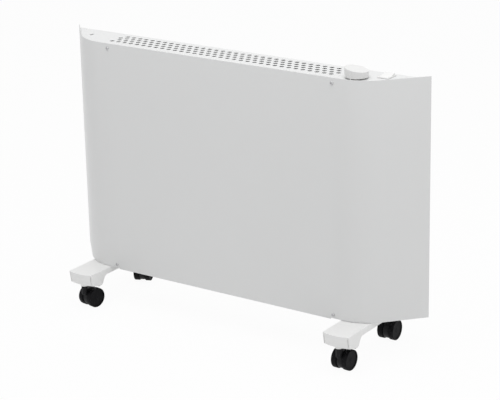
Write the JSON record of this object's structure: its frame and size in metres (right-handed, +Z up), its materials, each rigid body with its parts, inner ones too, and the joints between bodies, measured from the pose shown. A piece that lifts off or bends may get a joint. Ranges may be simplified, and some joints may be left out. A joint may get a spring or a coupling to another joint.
{
  "type": "panel convector heater",
  "caption": "Flat steel convector heater with flared sides, perforated top, thermostat knob and rocker switch, on two feet with twin-wheel castors.",
  "frame": {"origin": "on the floor, midway between the two feet and midway along them, so under the middle of the bounding box", "axes": "+X to the right of someone facing the front, +Y to the rear (the wall side), +Z up"},
  "size_m": [0.767, 0.222, 0.5322],
  "materials": {
    "white_paint": "satin white powder coat on steel sheet",
    "inner_steel": "bare galvanised steel sheet",
    "bright_steel": "zinc-plated steel",
    "element_aluminium": "plain extruded aluminium",
    "white_ceramic": "unglazed ceramic",
    "brown_moulding": "dark phenolic moulding",
    "plain_brass": "turned brass",
    "knob_plastic": "satin white plastic",
    "switch_plastic": "white plastic",
    "white_moulding": "white nylon moulding",
    "foot_plastic": "white plastic with a fine grain",
    "black_moulding": "black nylon moulding",
    "bulb_copper": "copper tube",
    "brown_lead": "brown silicone-sleeved wire",
    "blue_lead": "blue silicone-sleeved wire",
    "green_lead": "green and yellow earth wire, shown in one green",
    "castor_nylon": "black nylon castor frame",
    "castor_tread": "black nylon wheel"
  },
  "bodies": {
    "casing": {"front_shell": "white_paint", "top_grille": "white_paint", "bottom_grille": "white_paint", "rear_panel": "white_paint", "partition_left": "inner_steel", "partition_right": "inner_steel", "front_screw_top_left": "bright_steel", "front_screw_top_right": "bright_steel", "front_screw_bottom_left": "bright_steel", "front_screw_bottom_right": "bright_steel", "heating_element": "element_aluminium", "heating_rod": "bright_steel", "insulator_left": "white_ceramic", "insulator_right": "white_ceramic", "thermostat_body": "brown_moulding", "thermostat_nut": "plain_brass", "switch_body": "switch_plastic", "terminal_block": "white_moulding", "cable_gland": "black_moulding", "gland_nut": "black_moulding", "thermal_cutout": "brown_moulding", "sensor_bulb": "bulb_copper", "sensor_clip": "white_moulding", "capillary_tube": "bulb_copper", "lead_supply": "brown_lead", "lead_thermostat": "brown_lead", "lead_cutout": "brown_lead", "lead_element": "brown_lead", "lead_neutral": "blue_lead", "lead_earth": "green_lead", "foot_left": "foot_plastic", "foot_right": "foot_plastic", "foot_screw_front_left": "bright_steel", "foot_screw_rear_left": "bright_steel", "foot_screw_front_right": "bright_steel", "foot_screw_rear_right": "bright_steel"},
    "knob": {"thermostat_knob": "knob_plastic", "thermostat_spindle": "plain_brass"},
    "rocker": {"switch_rocker": "switch_plastic"},
    "castor_front_left": {"castor_front_left_frame": "castor_nylon", "castor_front_left_stem": "bright_steel", "castor_front_left_axle": "bright_steel"},
    "castor_front_left_wheel_left": {"castor_front_left_wheel_left": "castor_tread"},
    "castor_front_left_wheel_right": {"castor_front_left_wheel_right": "castor_tread"},
    "castor_front_right": {"castor_front_right_frame": "castor_nylon", "castor_front_right_stem": "bright_steel", "castor_front_right_axle": "bright_steel"},
    "castor_front_right_wheel_left": {"castor_front_right_wheel_left": "castor_tread"},
    "castor_front_right_wheel_right": {"castor_front_right_wheel_right": "castor_tread"},
    "castor_rear_left": {"castor_rear_left_frame": "castor_nylon", "castor_rear_left_stem": "bright_steel", "castor_rear_left_axle": "bright_steel"},
    "castor_rear_left_wheel_left": {"castor_rear_left_wheel_left": "castor_tread"},
    "castor_rear_left_wheel_right": {"castor_rear_left_wheel_right": "castor_tread"},
    "castor_rear_right": {"castor_rear_right_frame": "castor_nylon", "castor_rear_right_stem": "bright_steel", "castor_rear_right_axle": "bright_steel"},
    "castor_rear_right_wheel_left": {"castor_rear_right_wheel_left": "castor_tread"},
    "castor_rear_right_wheel_right": {"castor_rear_right_wheel_right": "castor_tread"}
  },
  "joints": [
    {"name": "knob_turn", "type": "hinge", "parent": "casing", "child": "knob", "pos_m": [0.2775, -0.023, 0.5217], "axis": [0, 0, -1], "range_deg": [0, 270]},
    {"name": "rocker_tilt", "type": "hinge", "parent": "casing", "child": "rocker", "pos_m": [0.3185, 0.0075, 0.513], "axis": [-1, 0, 0], "range_deg": [0, 16]},
    {"name": "swivel_front_left", "type": "hinge", "parent": "casing", "child": "castor_front_left", "pos_m": [-0.2845, -0.096, 0.05], "axis": [0, 0, 1], "continuous": true},
    {"name": "roll_front_left_left", "type": "hinge", "parent": "castor_front_left", "child": "castor_front_left_wheel_left", "pos_m": [-0.28155, -0.07926, 0.019], "axis": [0.9848, -0.1736, 0], "continuous": true},
    {"name": "roll_front_left_right", "type": "hinge", "parent": "castor_front_left", "child": "castor_front_left_wheel_right", "pos_m": [-0.28155, -0.07926, 0.019], "axis": [0.9848, -0.1736, 0], "continuous": true},
    {"name": "swivel_front_right", "type": "hinge", "parent": "casing", "child": "castor_front_right", "pos_m": [0.2845, -0.096, 0.05], "axis": [0, 0, 1], "continuous": true},
    {"name": "roll_front_right_left", "type": "hinge", "parent": "castor_front_right", "child": "castor_front_right_wheel_left", "pos_m": [0.28509, -0.07901, 0.019], "axis": [0.9994, -0.0349, 0], "continuous": true},
    {"name": "roll_front_right_right", "type": "hinge", "parent": "castor_front_right", "child": "castor_front_right_wheel_right", "pos_m": [0.28509, -0.07901, 0.019], "axis": [0.9994, -0.0349, 0], "continuous": true},
    {"name": "swivel_rear_left", "type": "hinge", "parent": "casing", "child": "castor_rear_left", "pos_m": [-0.2845, 0.096, 0.05], "axis": [0, 0, 1], "continuous": true},
    {"name": "roll_rear_left_left", "type": "hinge", "parent": "castor_rear_left", "child": "castor_rear_left_wheel_left", "pos_m": [-0.27813, 0.08024, 0.019], "axis": [-0.9272, -0.3746, 0], "continuous": true},
    {"name": "roll_rear_left_right", "type": "hinge", "parent": "castor_rear_left", "child": "castor_rear_left_wheel_right", "pos_m": [-0.27813, 0.08024, 0.019], "axis": [-0.9272, -0.3746, 0], "continuous": true},
    {"name": "swivel_rear_right", "type": "hinge", "parent": "casing", "child": "castor_rear_right", "pos_m": [0.2845, 0.096, 0.05], "axis": [0, 0, 1], "continuous": true},
    {"name": "roll_rear_right_left", "type": "hinge", "parent": "castor_rear_right", "child": "castor_rear_right_wheel_left", "pos_m": [0.28509, 0.07901, 0.019], "axis": [-0.9994, -0.0349, 0], "continuous": true},
    {"name": "roll_rear_right_right", "type": "hinge", "parent": "castor_rear_right", "child": "castor_rear_right_wheel_right", "pos_m": [0.28509, 0.07901, 0.019], "axis": [-0.9994, -0.0349, 0], "continuous": true}
  ]
}
